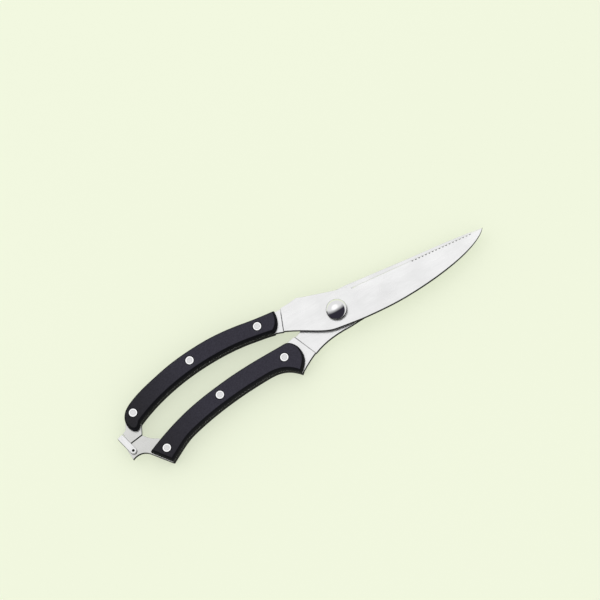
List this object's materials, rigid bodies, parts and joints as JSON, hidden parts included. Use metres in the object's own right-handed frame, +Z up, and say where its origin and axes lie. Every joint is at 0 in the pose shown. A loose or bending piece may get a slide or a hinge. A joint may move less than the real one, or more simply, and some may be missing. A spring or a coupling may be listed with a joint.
{
  "type": "poultry shears",
  "caption": "Poultry shears with a toothed front blade, riveted dark grip scales, a domed pivot cap and a swinging tail catch that locks the handles closed.",
  "frame": {"origin": "middle of the closed shears' outline, on the plane that the back grip scales lie on", "axes": "+X along the shears towards the blade tips, +Y across towards the upper grip, +Z up out of the front face"},
  "size_m": [0.2496, 0.0538, 0.0147],
  "materials": {
    "blade_steel": "satin ground stainless steel",
    "bright_steel": "bright stainless steel",
    "polished_cap": "mirror polished",
    "spring_steel": "drawn spring wire",
    "rivet_ring": "polished flush",
    "rivet_core": "ground flush",
    "grip": "fine matt moulding, charcoal with a slight violet cast"
  },
  "bodies": {
    "front_half": {"front_blade": "blade_steel", "upper_front_scale": "grip", "upper_back_scale": "grip", "pivot_bolt": "bright_steel", "pivot_washer": "bright_steel", "pivot_dome": "polished_cap", "pivot_spring": "spring_steel", "upper_neck_rivet_tube": "rivet_ring", "upper_middle_rivet_tube": "rivet_ring", "upper_tail_rivet_tube": "rivet_ring", "upper_neck_rivet_core": "rivet_core", "upper_middle_rivet_core": "rivet_core", "upper_tail_rivet_core": "rivet_core"},
    "rear_half": {"rear_blade": "blade_steel", "lower_front_scale": "grip", "lower_back_scale": "grip", "catch_washer": "bright_steel", "catch_rivet": "bright_steel", "lower_neck_rivet_tube": "rivet_ring", "lower_middle_rivet_tube": "rivet_ring", "lower_tail_rivet_tube": "rivet_ring", "lower_neck_rivet_core": "rivet_core", "lower_middle_rivet_core": "rivet_core", "lower_tail_rivet_core": "rivet_core"},
    "catch": {"catch": "bright_steel"}
  },
  "joints": [
    {"name": "blade_pivot", "type": "hinge", "parent": "front_half", "child": "rear_half", "pos_m": [0.02583, 0.00134, 0.0065], "axis": [0, 0, 1], "range_deg": [0, 38], "deforming": ["pivot_spring"]},
    {"name": "catch_pivot", "type": "hinge", "parent": "rear_half", "child": "catch", "pos_m": [-0.12017, -0.00846, 0.0083], "axis": [0, 0, 1], "range_deg": [-2, 110]}
  ]
}
